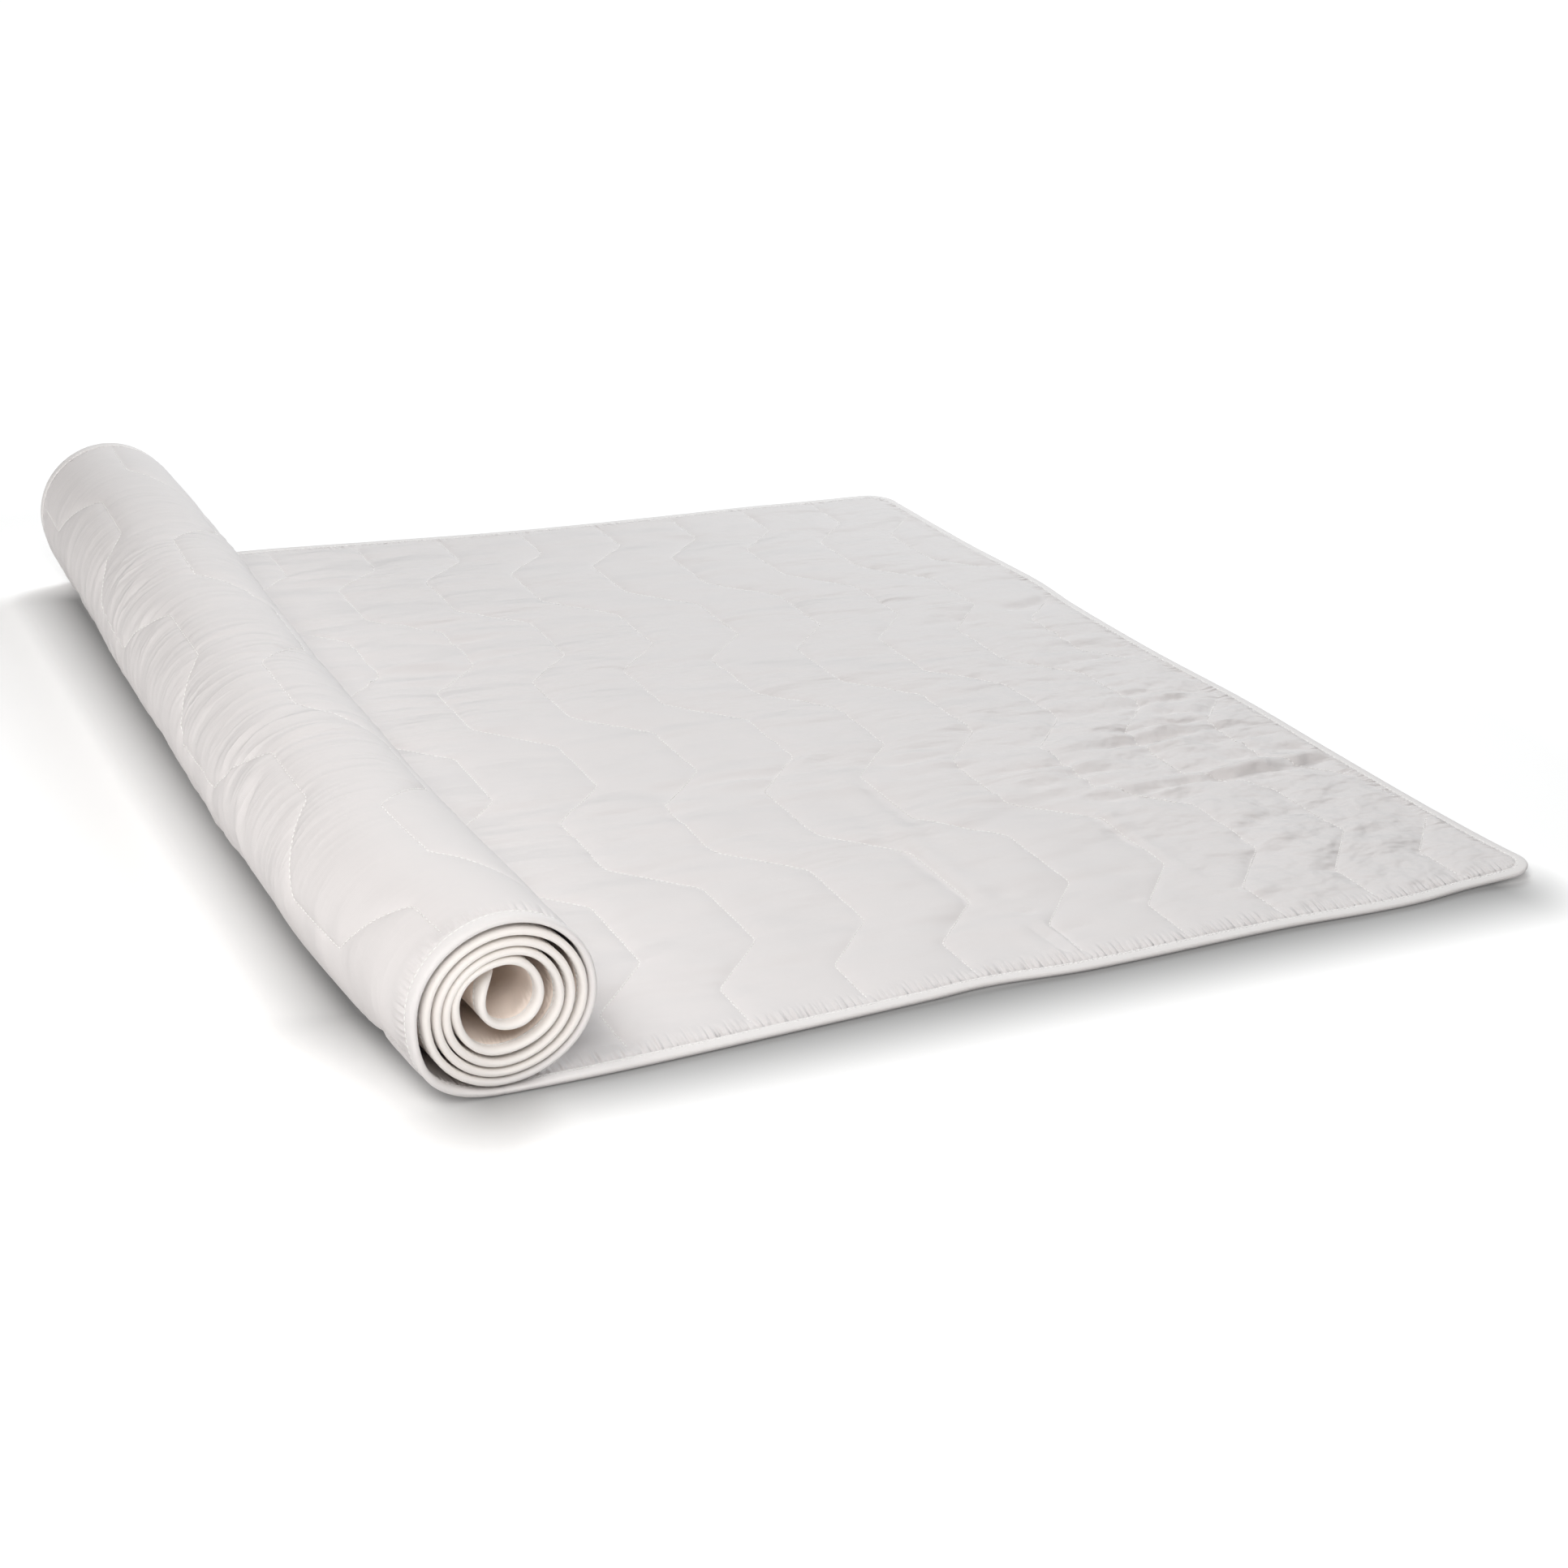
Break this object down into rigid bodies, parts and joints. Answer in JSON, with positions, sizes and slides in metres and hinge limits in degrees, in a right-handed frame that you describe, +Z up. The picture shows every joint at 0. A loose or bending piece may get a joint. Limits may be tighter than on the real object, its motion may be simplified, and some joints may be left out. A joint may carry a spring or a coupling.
{
  "type": "mattress protector",
  "caption": "Quilted rectangular mattress protector with a bound edge, partly wound into a roll and partly laid flat.",
  "frame": {"origin": "centre of the bounding box in plan, on the surface that the cloth lies on", "axes": "+Z up, +Y along the roll from its near end to its far end, +X from the roll to the loose end of the laid cloth"},
  "size_m": [0.8238, 0.908, 0.1161],
  "materials": {
    "quilted_cotton": "matt off-white woven cotton, quilted over thin wadding",
    "binding_tape": "matt off-white folded cotton tape"
  },
  "bodies": {
    "root": {"quilted_panel": "quilted_cotton", "edge_binding": "binding_tape"}
  },
  "joints": []
}
